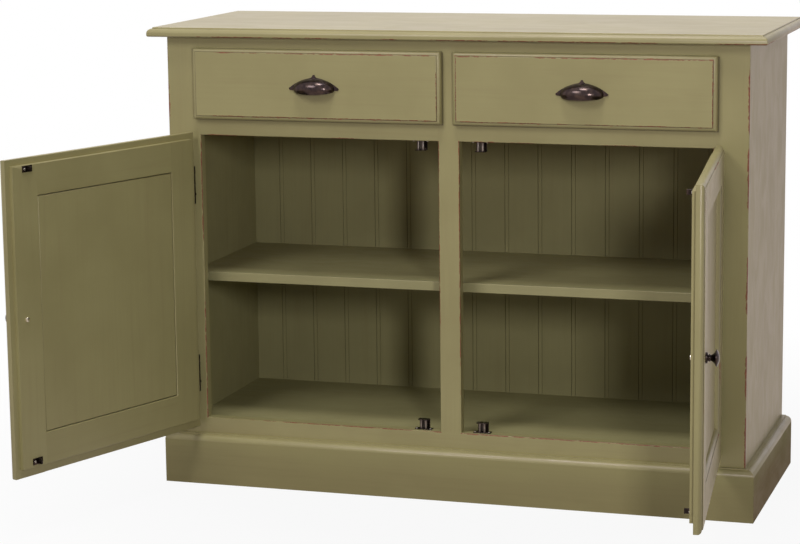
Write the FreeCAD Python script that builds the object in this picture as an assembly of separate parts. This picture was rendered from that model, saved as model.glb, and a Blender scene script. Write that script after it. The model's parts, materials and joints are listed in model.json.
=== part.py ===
import FreeCAD, Part
import math
import os

V = FreeCAD.Vector
RIGHT = V(1, 0, 0)
BACK = V(0, 1, 0)
FRONT = V(0, -1, 0)
UP = V(0, 0, 1)

# Free-standing base cabinet: two drawers over two doors, lipped fronts on a face frame.
# Millimetres. The front looks along -Y, the origin is on the floor under the middle of the carcass.

# Carcass
body_width = 1132.0
body_depth = 440.0
side_thickness = 18.0
housing_depth = 6.0

# Top board
top_thickness = 18.0
top_side_overhang = 34.0
top_front_overhang = 22.0
top_edge_inset = 9.0
top_edge_quirk = 2.4
top_lower_round = 3.0

# Face frame, from the floor up
frame_thickness = 20.0
outer_stile_width = 66.0
centre_stile_width = 41.0
door_opening_bottom = 131.0
bottom_rail_height = 72.0
door_opening_height = 561.0
mid_rail_height = 41.0
drawer_opening_height = 119.0
top_rail_height = 30.0

# Mortise and tenon joints of the face frame
tenon_thickness = 8.0
tenon_length = 18.0
tenon_shoulder = 6.0
mortise_end_gap = 1.0

# Plinth
plinth_height = 99.0
plinth_thickness = 19.0
plinth_edge_inset = 11.0
plinth_edge_quirk = 1.5

# Floor and shelf
floor_thickness = 18.0
floor_drop = 12.0
floor_bearer_width = 45.0
shelf_thickness = 18.0
shelf_top_height = 413.0
shelf_setback = 54.0

# Back of tongue-and-groove boards with a rail behind for fixing to a wall
back_board_width = 70.0
first_back_board_width = 64.0
back_board_thickness = 12.0
back_board_floor_gap = 20.0
back_tongue_thickness = 4.0
back_tongue_length = 5.0
back_groove_gap = 1.0
back_joint_gap = 0.1
back_shoulder_gap = 0.7
back_tongue_play = 0.15
back_edge_chamfer = 0.6
bead_width = 7.8
bead_quirk_width = 1.4
bead_quirk_depth = 1.0
back_rail_thickness = 20.0
back_rail_height = 80.0
wall_hole_radius = 3.5
wall_hole_spacing = 800.0

# Drawer runners and kickers
runner_ledge_thickness = 20.0
runner_ledge_reach = 22.0
runner_guide_height = 27.0
kicker_width = 68.0
running_gap = 0.3
guide_gap = 1.0

# Lipped fronts: a moulded lip over the frame and a tongue in the opening
lip_thickness = 16.0
tongue_depth = 7.0
seat_gap = 0.5
lip_inset = 7.0
lip_quirk = 1.6

# Drawers
drawer_overlay = 9.0
drawer_side_gap = 2.0
drawer_front_gap = 1.5
drawer_side_thickness = 12.0
drawer_side_height = 105.0
drawer_rear_gap = 26.0
drawer_front_housing = 5.0
drawer_back_thickness = 12.0
drawer_back_height = 80.0
drawer_back_setback = 6.0
drawer_back_housing = 4.0
drawer_bottom_thickness = 6.0
drawer_bottom_raise = 12.0
drawer_bottom_housing = 5.0

# Doors
door_side_overlay = 10.0
door_side_gap = 2.0
door_top_overlay = 7.0
door_top_gap = 5.0
door_bottom_overlay = 15.0
door_bottom_gap = 1.0
door_stile_width = 72.0
door_top_rail_width = 70.0
door_bottom_rail_width = 76.0
door_tenon_length = 30.0
door_tenon_shoulder = 6.0
sticking_inset = 8.0
sticking_quirk = 1.5
panel_groove_width = 6.0
panel_groove_depth = 9.0
panel_edge_room = 1.0
panel_field_gap = 1.5
panel_field_drop = 0.7
left_door_open_deg = 109.6
right_door_open_deg = 96.6

# Screw-in lift-off hinges
hinge_end_distance = 105.0
hinge_barrel_radius = 4.5
hinge_half_length = 37.0
hinge_edge_gap = 0.8
hinge_pin_radius = 2.5
hinge_pin_length = 28.0
hinge_pin_clearance = 0.05
hinge_bore_extra = 1.5
hinge_tip_chamfer = 1.2
hinge_stem_radius = 2.75
hinge_stem_clearance = 0.05
hinge_frame_stem_bite = 16.0
hinge_door_stem_bite = 24.0

# Spring catches beside the centre stile and their strikes on the doors
catch_edge_distance = 38.0
catch_width = 21.0
catch_plate_width = 34.0
catch_depth = 14.0
catch_height = 20.0
catch_sheet = 1.5
catch_tongue_gap = 2.0
catch_jaw_radius = 2.4
catch_jaw_spacing = 9.2
catch_jaw_end_gap = 0.4
strike_plate_width = 24.0
strike_plate_height = 12.0
strike_plate_thickness = 1.5
spear_thickness = 3.4
spear_height = 9.0
spear_rise = 12.0
spear_length = 11.5

# Small wood screws
wood_screw_radius = 1.3
wood_screw_length = 9.0
wood_screw_head_radius = 2.3
wood_screw_head_height = 1.1
wood_screw_clearance = 0.05

# Turned knob and its screw
knob_inset = 35.0
knob_projection = 23.0
knob_head_radius = 14.0
knob_rim_thickness = 1.6
knob_crown = 4.5
knob_neck_radius = 5.2
knob_ring_radius = 6.4
knob_ring_gap = 0.8
knob_ring_width = 3.0
knob_base_radius = 9.2
knob_base_thickness = 4.0
knob_flare_start = 9.5
knob_flare_radius = 8.0
knob_flare_height = 13.2

# Cup pull
pull_width = 99.0
pull_drop = 5.0
pull_flange_thickness = 2.0
pull_ear_half_height = 2.6
pull_ear_round = 2.4
pull_brow_half_width = 6.5
pull_brow_height = 20.5
pull_flank_half_width = 28.0
pull_flank_height = 14.5
pull_hollow_half_width = 3.9
pull_hollow_height = 22.3
pull_finial_half_width = 2.2
pull_finial_height = 25.0
pull_peak_height = 26.5
pull_lip_drop = 5.5
pull_lip_fall = 4.5
pull_cup_half_width = 41.0
pull_cup_projection = 24.0
pull_cup_height = 20.0
pull_wall = 1.8
pull_boss_radius = 4.0
pull_boss_length = 6.0
pull_boss_rise = 3.0
pull_screw_spacing = 70.0

# Machine screws of the knobs and pulls
machine_screw_radius = 2.0
machine_screw_head_radius = 4.2
machine_screw_head_height = 2.4
machine_screw_thread_bite = 5.0
machine_screw_clearance = 0.3
machine_thread_clearance = 0.05

# Positions that follow from the sizes above
half_width = body_width / 2
face_y = -body_depth / 2
frame_back_y = face_y + frame_thickness
rear_y = body_depth / 2
back_board_rear_y = rear_y - back_rail_thickness
back_board_front_y = back_board_rear_y - back_board_thickness
side_inner_x = half_width - side_thickness
opening_outer_x = half_width - outer_stile_width
opening_inner_x = centre_stile_width / 2
door_opening_top = door_opening_bottom + door_opening_height
drawer_opening_bottom = door_opening_top + mid_rail_height
drawer_opening_top = drawer_opening_bottom + drawer_opening_height
carcass_top = drawer_opening_top + top_rail_height
floor_top = door_opening_bottom - floor_drop
floor_bottom = floor_top - floor_thickness
shelf_bottom = shelf_top_height - shelf_thickness
runner_bottom = drawer_opening_bottom - runner_ledge_thickness
lip_back_y = face_y - seat_gap
lip_front_y = lip_back_y - lip_thickness
tongue_back_y = lip_back_y + tongue_depth
drawer_side_x = opening_outer_x - drawer_side_gap
drawer_inner_x = opening_inner_x + drawer_side_gap


def box(x0, x1, y0, y1, z0, z1):
    return Part.makeBox(x1 - x0, y1 - y0, z1 - z0, V(x0, y0, z0))


def cylinder(radius, start, end):
    axis = end - start
    return Part.makeCylinder(radius, axis.Length, start, axis)


def mirrored(shape):
    return shape.mirror(V(0, 0, 0), RIGHT)


def group(shapes):
    return Part.makeCompound(shapes)


def closed_face(place, start, steps):
    # Each step is a straight line to (a, b), or an arc through (a, b) to (c, d).
    here = place(*start)
    edges = []
    for step in steps:
        there = place(*step[-2:])
        if len(step) == 4:
            edges.append(Part.Arc(here, place(*step[:2]), there).toShape())
        else:
            edges.append(Part.LineSegment(here, there).toShape())
        here = there
    return Part.Face(Part.Wire(edges))


def arc_point(centre_a, centre_b, radius, degrees):
    turn = math.radians(degrees)
    return (centre_a + radius * math.cos(turn), centre_b + radius * math.sin(turn))


def moulded_prism(corner, across, along, outward, width, length, thickness, inset, quirk,
                  lower_round=0.0, plain_end=False):
    # A board with a stepped quarter-round on its outward face, along both edges of its width.
    def place(a, b):
        return corner + across * a + outward * b

    shoulder = thickness - quirk
    spring = shoulder - inset
    steps = []
    if plain_end:
        steps.append((width, 0))
        steps.append((width, thickness))
    else:
        steps.append((width - lower_round, 0))
        if lower_round > 0:
            steps.append(arc_point(width - lower_round, lower_round, lower_round, -45)
                         + (width, lower_round))
        steps.append((width, spring))
        steps.append(arc_point(width - inset, spring, inset, 45) + (width - inset, shoulder))
        steps.append((width - inset, thickness))
    steps.append((inset, thickness))
    steps.append((inset, shoulder))
    steps.append(arc_point(inset, spring, inset, 135) + (0, spring))
    steps.append((0, lower_round))
    if lower_round > 0:
        steps.append(arc_point(lower_round, lower_round, lower_round, 225) + (lower_round, 0))
    return closed_face(place, (lower_round, 0), steps).extrude(along * length)


def moulded_slab(corner, across, along, outward, width, length, thickness, inset, quirk,
                 lower_round=0.0, plain_end=False):
    # The two prisms share the slab, so that the moulding is mitred at its corners.
    over_width = moulded_prism(corner, across, along, outward, width, length, thickness,
                               inset, quirk, lower_round)
    over_length = moulded_prism(corner, along, across, outward, length, width, thickness,
                                inset, quirk, lower_round, plain_end)
    return over_width.common(over_length)


def flared_prism(corner, across, along, outward, width, length, depth, inset, quirk):
    # The space inside a moulded frame edge, wider at the front by the inset.
    def place(a, b):
        return corner + across * a + outward * b

    shoulder = depth - quirk
    spring = shoulder - inset
    steps = [
        (width, 0),
        (width, spring),
        arc_point(width + inset, spring, inset, 135) + (width + inset, shoulder),
        (width + inset, depth),
        (-inset, depth),
        (-inset, shoulder),
        arc_point(-inset, spring, inset, 45) + (0, spring),
        (0, 0),
    ]
    reach = along * inset
    face = closed_face(place, (0, 0), steps)
    face.translate(reach * -1)
    return face.extrude(along * (length + 2 * inset))


# Face frame

def tenon_y():
    centre = face_y + frame_thickness / 2
    return centre - tenon_thickness / 2, centre + tenon_thickness / 2


def side_tenon(edge_x, toward, z0, z1, extra=0.0):
    y0, y1 = tenon_y()
    end_x = edge_x + toward * (tenon_length + extra)
    return box(min(edge_x, end_x), max(edge_x, end_x), y0, y1,
               z0 + tenon_shoulder, z1 - tenon_shoulder)


def centre_tenon(edge_z, toward, extra=0.0):
    y0, y1 = tenon_y()
    end_z = edge_z + toward * (tenon_length + extra)
    reach = opening_inner_x - tenon_shoulder
    return box(-reach, reach, y0, y1, min(edge_z, end_z), max(edge_z, end_z))


bottom_rail_bottom = door_opening_bottom - bottom_rail_height
rail_levels = {
    "top": (drawer_opening_top, carcass_top),
    "mid": (door_opening_top, drawer_opening_bottom),
    "bottom": (bottom_rail_bottom, door_opening_bottom),
}


def outer_stile():
    # The left stile, full height, with a mortise for each rail and a hole for each hinge stem.
    stile = box(-half_width, -opening_outer_x, face_y, frame_back_y, 0, carcass_top)
    for z0, z1 in rail_levels.values():
        stile = stile.cut(side_tenon(-opening_outer_x, -1, z0, z1, mortise_end_gap))
    for middle_z in hinge_levels():
        start = V(hinge_axis_x, face_y, middle_z - hinge_half_length / 2)
        stile = stile.cut(cylinder(hinge_stem_radius + hinge_stem_clearance, start,
                                   start + BACK * hinge_frame_stem_bite))
    return stile


def centre_stile():
    stile = box(-opening_inner_x, opening_inner_x, face_y, frame_back_y,
                door_opening_bottom, drawer_opening_top)
    stile = stile.fuse(centre_tenon(door_opening_bottom, -1))
    stile = stile.fuse(centre_tenon(drawer_opening_top, 1))
    z0, z1 = rail_levels["mid"]
    for side in (-1, 1):
        stile = stile.cut(side_tenon(side * opening_inner_x, -side, z0, z1, mortise_end_gap))
    return stile.removeSplitter()


def long_rail(level, centre_mortise_z, centre_side):
    z0, z1 = rail_levels[level]
    rail = box(-opening_outer_x, opening_outer_x, face_y, frame_back_y, z0, z1)
    for side in (-1, 1):
        rail = rail.fuse(side_tenon(side * opening_outer_x, side, z0, z1))
    rail = rail.cut(centre_tenon(centre_mortise_z, centre_side, mortise_end_gap))
    return rail.removeSplitter()


def mid_rail():
    z0, z1 = rail_levels["mid"]
    rail = box(-opening_outer_x, -opening_inner_x, face_y, frame_back_y, z0, z1)
    rail = rail.fuse(side_tenon(-opening_outer_x, -1, z0, z1))
    rail = rail.fuse(side_tenon(-opening_inner_x, 1, z0, z1))
    return rail.removeSplitter()


# Carcass

def side_panel():
    panel = box(-half_width, -side_inner_x, frame_back_y, rear_y, 0, carcass_top)
    panel = panel.cut(floor_panel())
    return panel.cut(shelf())


def floor_panel():
    reach = side_inner_x + housing_depth
    return box(-reach, reach, frame_back_y, back_board_front_y, floor_bottom, floor_top)


def floor_bearer():
    reach = floor_bearer_width / 2
    return box(-reach, reach, frame_back_y, back_board_front_y, 0, floor_bottom)


def shelf():
    reach = side_inner_x + housing_depth
    return box(-reach, reach, face_y + shelf_setback, back_board_front_y,
               shelf_bottom, shelf_top_height)


def top_board():
    reach = half_width + top_side_overhang
    corner = V(-reach, face_y - top_front_overhang, carcass_top)
    return moulded_slab(corner, RIGHT, BACK, UP, 2 * reach, body_depth + top_front_overhang,
                        top_thickness, top_edge_inset, top_edge_quirk, top_lower_round,
                        plain_end=True)


def plinth_boards():
    # A moulded block round the body, hollowed and cut along the mitres.
    reach = half_width + plinth_thickness
    front_y = face_y - plinth_thickness
    block = moulded_slab(V(-reach, front_y, 0), RIGHT, BACK, UP, 2 * reach,
                         body_depth + plinth_thickness, plinth_height,
                         plinth_edge_inset, plinth_edge_quirk, plain_end=True)
    ring = block.cut(box(-half_width, half_width, face_y, rear_y, 0, plinth_height))
    corners = [V(-reach, front_y, 0), V(reach, front_y, 0),
               V(half_width, face_y, 0), V(-half_width, face_y, 0)]
    wedge = Part.Face(Part.makePolygon(corners + corners[:1])).extrude(UP * plinth_height)
    left_half = box(-reach, 0, front_y, rear_y, 0, plinth_height)
    front = ring.common(wedge)
    left = ring.cut(wedge).common(left_half)
    return front, left


def wall_holes():
    z = carcass_top - back_rail_height / 2
    return [cylinder(wall_hole_radius, V(side * wall_hole_spacing / 2, back_board_front_y, z),
                     V(side * wall_hole_spacing / 2, rear_y, z)) for side in (-1, 1)]


def back_rail():
    rail = box(-side_inner_x, side_inner_x, back_board_rear_y, rear_y,
               carcass_top - back_rail_height, carcass_top)
    for hole in wall_holes():
        rail = rail.cut(hole)
    return rail


def back_board(x0, x1, has_groove, has_tongue):
    middle_y = (back_board_front_y + back_board_rear_y) / 2
    tongue_front = middle_y - back_tongue_thickness / 2
    tongue_back = middle_y + back_tongue_thickness / 2
    groove_front = tongue_front - back_tongue_play
    groove_back = tongue_back + back_tongue_play
    front = back_board_front_y
    groove_x = x0 + back_tongue_length + back_groove_gap
    tongue_x = x1 + back_tongue_length
    bead_x = x1 - bead_width
    # The joint closes at the front and stays open behind the tongue.
    front_x = x0 + back_joint_gap if has_groove else x0
    rear_x = x0 + back_shoulder_gap if has_groove else x0
    points = [(rear_x, back_board_rear_y), (x1, back_board_rear_y)]
    if has_tongue:
        points += [(x1, tongue_back), (tongue_x, tongue_back),
                   (tongue_x, tongue_front), (x1, tongue_front)]
    points += [(x1, front + back_edge_chamfer), (x1 - back_edge_chamfer, front),
               (bead_x + bead_quirk_width / 2, front), (bead_x, front + bead_quirk_depth),
               (bead_x - bead_quirk_width / 2, front),
               (front_x + back_edge_chamfer, front), (front_x, front + back_edge_chamfer)]
    if has_groove:
        points += [(front_x, groove_front), (groove_x, groove_front),
                   (groove_x, groove_back), (rear_x, groove_back)]
    corners = [V(x, y, back_board_floor_gap) for x, y in points]
    section = Part.Face(Part.makePolygon(corners + corners[:1]))
    return section.extrude(UP * (carcass_top - back_board_floor_gap))


def back_boards():
    # Full boards follow the first, and the last is ripped to what is left.
    edges = [-side_inner_x]
    edge = -side_inner_x + first_back_board_width
    while edge < side_inner_x - back_board_width / 4:
        edges.append(edge)
        edge += back_board_width
    edges.append(side_inner_x)
    boards = []
    for x0, x1 in zip(edges[:-1], edges[1:]):
        board = back_board(x0, x1, x0 > edges[0], x1 < edges[-1])
        for hole in wall_holes():
            board = board.cut(hole)
        boards.append(board)
    return group(boards)


# Drawer runners and kickers

def side_runner():
    guide_x = -drawer_side_x - guide_gap
    ledge_x = -drawer_side_x + drawer_side_thickness + runner_ledge_reach
    ledge = box(-side_inner_x, ledge_x, frame_back_y, back_board_front_y,
                runner_bottom, drawer_opening_bottom)
    guide = box(-side_inner_x, guide_x, frame_back_y, back_board_front_y,
                drawer_opening_bottom, drawer_opening_bottom + runner_guide_height)
    return ledge.fuse(guide).removeSplitter()


def centre_runner():
    guide_x = drawer_inner_x - guide_gap
    ledge_x = drawer_inner_x + drawer_side_thickness + runner_ledge_reach
    ledge = box(-ledge_x, ledge_x, frame_back_y, back_board_front_y,
                runner_bottom, drawer_opening_bottom)
    guide = box(-guide_x, guide_x, frame_back_y, back_board_front_y,
                drawer_opening_bottom, drawer_opening_bottom + runner_guide_height)
    return ledge.fuse(guide).removeSplitter()


def drawer_kickers():
    left = box(-side_inner_x, -side_inner_x + kicker_width, frame_back_y, back_board_front_y,
               drawer_opening_top, carcass_top)
    centre = box(-kicker_width / 2, kicker_width / 2, frame_back_y, back_board_front_y,
                 drawer_opening_top, carcass_top)
    return group([left, centre, mirrored(left)])


# Hinges, in the closed position of the left door

door_x0 = -opening_outer_x - door_side_overlay
door_x1 = -opening_inner_x + door_side_overlay
door_z0 = door_opening_bottom - door_bottom_overlay
door_z1 = door_opening_top + door_top_overlay
hinge_axis_x = door_x0 - hinge_edge_gap - hinge_barrel_radius
hinge_axis_y = lip_back_y - lip_thickness / 2


def hinge_levels():
    return door_z0 + hinge_end_distance, door_z1 - hinge_end_distance


def hinge_barrel(z0, z1, tip_at_top):
    foot = V(hinge_axis_x, hinge_axis_y, z0)
    barrel = cylinder(hinge_barrel_radius, foot, foot + UP * (z1 - z0))
    tip_z = z1 if tip_at_top else z0
    tip = [edge for edge in barrel.Edges
           if abs(edge.CenterOfMass.z - tip_z) < hinge_tip_chamfer / 2]
    return barrel.makeChamfer(hinge_tip_chamfer, tip)


def hinge_frame_half(middle_z):
    half = hinge_barrel(middle_z - hinge_half_length, middle_z, False)
    shoulder = V(hinge_axis_x, hinge_axis_y, middle_z)
    pin = cylinder(hinge_pin_radius, shoulder - UP * hinge_tip_chamfer,
                   shoulder + UP * hinge_pin_length)
    stem_z = middle_z - hinge_half_length / 2
    stem = cylinder(hinge_stem_radius, V(hinge_axis_x, hinge_axis_y, stem_z),
                    V(hinge_axis_x, face_y + hinge_frame_stem_bite, stem_z))
    return half.fuse(pin).fuse(stem).removeSplitter()


def hinge_door_half(middle_z):
    foot_z = middle_z + running_gap
    half = hinge_barrel(foot_z, foot_z + hinge_half_length, True)
    stem_z = foot_z + hinge_half_length / 2
    stem = cylinder(hinge_stem_radius, V(hinge_axis_x, hinge_axis_y, stem_z),
                    V(door_x0 + hinge_door_stem_bite, hinge_axis_y, stem_z))
    foot = V(hinge_axis_x, hinge_axis_y, foot_z)
    bore = cylinder(hinge_pin_radius + hinge_pin_clearance, foot,
                    foot + UP * (hinge_pin_length + hinge_bore_extra - running_gap))
    return half.fuse(stem).removeSplitter().cut(bore)


# Catches, for the left door

catch_x = -opening_inner_x - catch_edge_distance
catch_front_y = tongue_back_y + catch_tongue_gap


def wood_screw(seat, inward):
    head = cylinder(wood_screw_head_radius, seat, seat - inward * wood_screw_head_height)
    return head.fuse(cylinder(wood_screw_radius, seat, seat + inward * wood_screw_length)
                     ).removeSplitter()


def wood_screw_hole(seat, inward):
    return cylinder(wood_screw_radius + wood_screw_clearance, seat - inward * catch_sheet,
                    seat + inward * wood_screw_length)


def catch_screw_seats(seat_z, outward):
    reach = (catch_width + catch_plate_width) / 4
    z = seat_z + outward * catch_sheet
    y = catch_front_y + catch_depth / 4
    return [V(catch_x + side * reach, y, z) for side in (-1, 1)]


def catch_housing(seat_z, outward):
    # A sheet-metal box on a screwed plate, open towards the door and at its sides.
    def level(height):
        return seat_z + outward * height

    def plate(half, y0, y1, low, high):
        z0, z1 = sorted((level(low), level(high)))
        return box(catch_x - half, catch_x + half, y0, y1, z0, z1)

    rear_wall_y = catch_front_y + catch_depth - catch_sheet
    foot = plate(catch_plate_width / 2, catch_front_y, catch_front_y + catch_depth, 0, catch_sheet)
    wall = plate(catch_width / 2, rear_wall_y, catch_front_y + catch_depth, 0, catch_height)
    cap = plate(catch_width / 2, catch_front_y, catch_front_y + catch_depth,
                catch_height - catch_sheet, catch_height)
    housing = foot.fuse(wall).fuse(cap).removeSplitter()
    for seat in catch_screw_seats(seat_z, outward):
        housing = housing.cut(wood_screw_hole(seat, UP * -outward))
    return housing


def catch_spring(seat_z, outward):
    # Two round-nosed jaws joined by a strip along the back of the housing.
    low = seat_z + outward * (catch_sheet + catch_jaw_end_gap)
    high = seat_z + outward * (catch_height - catch_sheet - catch_jaw_end_gap)
    z0, z1 = sorted((low, high))
    wall_y = catch_front_y + catch_depth - catch_sheet
    jaw_y = catch_front_y + catch_jaw_radius + catch_sheet
    outer = catch_jaw_spacing / 2 + catch_sheet / 2
    spring = box(catch_x - outer, catch_x + outer, wall_y - catch_sheet, wall_y, z0, z1)
    for side in (-1, 1):
        jaw_x = catch_x + side * catch_jaw_spacing / 2
        jaw = cylinder(catch_jaw_radius, V(jaw_x, jaw_y, z0), V(jaw_x, jaw_y, z1))
        arm = box(jaw_x - catch_sheet / 2, jaw_x + catch_sheet / 2, jaw_y, wall_y, z0, z1)
        spring = spring.fuse(jaw).fuse(arm)
    return spring.removeSplitter()


catch_seats = [(door_opening_bottom, 1), (door_opening_top, -1)]


def catch_screw_holes(seat_z, outward):
    return [wood_screw_hole(seat, UP * -outward) for seat in catch_screw_seats(seat_z, outward)]


def both_sides(shapes):
    return group(shapes + [mirrored(shape) for shape in shapes])


def drilled_for_catches(rail, seat_z, outward, both):
    for hole in catch_screw_holes(seat_z, outward):
        rail = rail.cut(hole)
        if both:
            rail = rail.cut(mirrored(hole))
    return rail


# Left door, closed

tongue_x0 = -opening_outer_x + door_side_gap
tongue_x1 = -opening_inner_x - door_side_gap
tongue_z0 = door_opening_bottom + door_bottom_gap
tongue_z1 = door_opening_top - door_top_gap
sight_x0 = door_x0 + door_stile_width
sight_x1 = door_x1 - door_stile_width
sight_z0 = door_z0 + door_bottom_rail_width
sight_z1 = door_z1 - door_top_rail_width
groove_y0 = lip_front_y + sticking_inset + sticking_quirk
groove_y1 = groove_y0 + panel_groove_width
knob_x = door_x1 - knob_inset
knob_z = (door_z0 + door_z1) / 2


def door_blank():
    lip = moulded_slab(V(door_x0, lip_back_y, door_z0), RIGHT, UP, FRONT,
                       door_x1 - door_x0, door_z1 - door_z0, lip_thickness, lip_inset, lip_quirk)
    tongue = box(tongue_x0, tongue_x1, lip_back_y, tongue_back_y, tongue_z0, tongue_z1)
    return lip.fuse(tongue).removeSplitter()


def door_hollow():
    # What the frame loses: the moulded sight opening and the groove for the panel.
    corner = V(sight_x0, tongue_back_y, sight_z0)
    width = sight_x1 - sight_x0
    height = sight_z1 - sight_z0
    depth = tongue_back_y - lip_front_y
    sight = flared_prism(corner, RIGHT, UP, FRONT, width, height, depth,
                         sticking_inset, sticking_quirk)
    sight = sight.common(flared_prism(corner, UP, RIGHT, FRONT, height, width, depth,
                                      sticking_inset, sticking_quirk))
    groove = box(sight_x0 - panel_groove_depth, sight_x1 + panel_groove_depth,
                 groove_y0, groove_y1,
                 sight_z0 - panel_groove_depth, sight_z1 + panel_groove_depth)
    return sight.fuse(groove)


def door_tenons(extra=0.0):
    # Left and right tenons of the bottom rail, then of the top rail.
    levels = [(tongue_z0 + door_tenon_shoulder, sight_z0 - panel_groove_depth),
              (sight_z1 + panel_groove_depth, tongue_z1 - door_tenon_shoulder)]
    length = door_tenon_length + extra
    return [[box(sight_x0 - length, sight_x0, groove_y0, groove_y1, z0, z1),
             box(sight_x1, sight_x1 + length, groove_y0, groove_y1, z0, z1)] for z0, z1 in levels]


def strike_seats():
    return [(seat_z + outward * spear_rise) for seat_z, outward in catch_seats]


def strike_screw_seats(level):
    y = tongue_back_y + strike_plate_thickness
    reach = (strike_plate_width + spear_thickness) / 4
    return [V(catch_x + side * reach, y, level) for side in (-1, 1)]


def drilled_for_strikes(piece):
    for level in strike_seats():
        for seat in strike_screw_seats(level):
            piece = piece.cut(wood_screw_hole(seat, FRONT))
    return piece


def strike(level):
    half = strike_plate_width / 2
    plate = box(catch_x - half, catch_x + half, tongue_back_y,
                tongue_back_y + strike_plate_thickness,
                level - strike_plate_height / 2, level + strike_plate_height / 2)
    spear = box(catch_x - spear_thickness / 2, catch_x + spear_thickness / 2, tongue_back_y,
                tongue_back_y + spear_length, level - spear_height / 2, level + spear_height / 2)
    return drilled_for_strikes(plate.fuse(spear).removeSplitter())


def knob_screw_seat():
    return V(knob_x, tongue_back_y, knob_z)


def door_latch_stile(blank, hollow):
    stile = blank.common(box(sight_x1, door_x1, lip_front_y, tongue_back_y, door_z0, door_z1))
    stile = stile.cut(hollow)
    for left, right in door_tenons(mortise_end_gap):
        stile = stile.cut(right)
    stile = stile.cut(cylinder(machine_screw_radius + machine_screw_clearance,
                               knob_screw_seat(), V(knob_x, lip_front_y, knob_z)))
    return drilled_for_strikes(stile)


def door_hinge_stile(blank, hollow):
    stile = blank.common(box(door_x0, sight_x0, lip_front_y, tongue_back_y, door_z0, door_z1))
    stile = stile.cut(hollow)
    for left, right in door_tenons(mortise_end_gap):
        stile = stile.cut(left)
    for middle_z in hinge_levels():
        start = V(door_x0, hinge_axis_y, middle_z + running_gap + hinge_half_length / 2)
        stile = stile.cut(cylinder(hinge_stem_radius + hinge_stem_clearance, start,
                                   start + RIGHT * hinge_door_stem_bite))
    return stile


def door_rail(blank, hollow, z0, z1, tenons):
    rail = blank.common(box(sight_x0, sight_x1, lip_front_y, tongue_back_y, z0, z1)).cut(hollow)
    for tenon in tenons:
        rail = rail.fuse(tenon)
    return drilled_for_strikes(rail.removeSplitter())


def door_panel():
    edge = panel_groove_depth - panel_edge_room
    sheet = box(sight_x0 - edge, sight_x1 + edge, groove_y0, groove_y1,
                sight_z0 - edge, sight_z1 + edge)
    field = box(sight_x0 + panel_field_gap, sight_x1 - panel_field_gap,
                groove_y0, tongue_back_y - panel_field_drop,
                sight_z0 + panel_field_gap, sight_z1 - panel_field_gap)
    return sheet.fuse(field).removeSplitter()


def knob():
    # Turned about the screw: a base rose, a ringed neck and a flared head with a low crown.
    def place(radius, out):
        return V(knob_x + radius, lip_front_y - out, knob_z)

    rim_back = knob_projection - knob_crown - knob_rim_thickness
    rim_front = knob_projection - knob_crown
    base = knob_base_thickness
    ring_start = base + knob_ring_gap
    ring_end = ring_start + knob_ring_width
    flare_middle = (knob_flare_radius, knob_flare_height)
    ball_radius = (knob_head_radius ** 2 + knob_crown ** 2) / (2 * knob_crown)
    crown_turn = math.degrees(math.asin(knob_head_radius / ball_radius))
    crown_middle = arc_point(0, knob_projection - ball_radius, ball_radius, 90 - crown_turn / 2)
    steps = [
        (knob_base_radius, 0),
        (knob_base_radius, base / 2),
        arc_point(knob_base_radius - base / 2, base / 2, base / 2, 45)
        + (knob_base_radius - base / 2, base),
        (knob_neck_radius, base),
        (knob_neck_radius, ring_start),
        (knob_ring_radius, (ring_start + ring_end) / 2, knob_neck_radius, ring_end),
        (knob_neck_radius, knob_flare_start),
        flare_middle + (knob_head_radius, rim_back),
        (knob_head_radius, rim_front),
        crown_middle + (0, knob_projection),
        (0, 0),
    ]
    axis_point = V(knob_x, lip_front_y, knob_z)
    turned = closed_face(place, (0, 0), steps).revolve(axis_point, FRONT, 360)
    thread = cylinder(machine_screw_radius + machine_thread_clearance, axis_point,
                      axis_point + FRONT * (machine_screw_thread_bite + mortise_end_gap))
    return turned.cut(thread)


def machine_screw(seat, end_y):
    head = cylinder(machine_screw_head_radius, seat, seat + BACK * machine_screw_head_height)
    shank = cylinder(machine_screw_radius, seat, V(seat.x, end_y, seat.z))
    return head.fuse(shank).removeSplitter()


def left_door_pieces():
    blank = door_blank()
    hollow = door_hollow()
    bottom_tenons, top_tenons = door_tenons()
    levels = strike_seats()
    return {
        "hinge_stile": door_hinge_stile(blank, hollow),
        "latch_stile": door_latch_stile(blank, hollow),
        "top_rail": door_rail(blank, hollow, sight_z1, door_z1, top_tenons),
        "bottom_rail": door_rail(blank, hollow, door_z0, sight_z0, bottom_tenons),
        "panel": door_panel(),
        "knob": knob(),
        "knob_screw": machine_screw(knob_screw_seat(), lip_front_y - machine_screw_thread_bite),
        "strikes": group([strike(level) for level in levels]),
        "strike_screws": group([wood_screw(seat, FRONT) for level in levels
                                for seat in strike_screw_seats(level)]),
        "hinge_halves": group([hinge_door_half(z) for z in hinge_levels()]),
    }


# Left drawer, closed

drawer_lip_x0 = -opening_outer_x - drawer_overlay
drawer_lip_x1 = -opening_inner_x + drawer_overlay
drawer_z0 = drawer_opening_bottom + running_gap
drawer_middle_x = (drawer_lip_x0 + drawer_lip_x1) / 2
pull_middle_z = (drawer_opening_bottom + drawer_opening_top) / 2 - pull_drop
drawer_side_front_y = tongue_back_y - drawer_front_housing
drawer_side_rear_y = back_board_front_y - drawer_rear_gap
drawer_back_rear_y = drawer_side_rear_y - drawer_back_setback
drawer_back_front_y = drawer_back_rear_y - drawer_back_thickness
drawer_bottom_z0 = drawer_z0 + drawer_bottom_raise
drawer_bottom_z1 = drawer_bottom_z0 + drawer_bottom_thickness
drawer_board_x0 = -drawer_side_x + drawer_side_thickness
drawer_board_x1 = -drawer_inner_x - drawer_side_thickness


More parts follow.
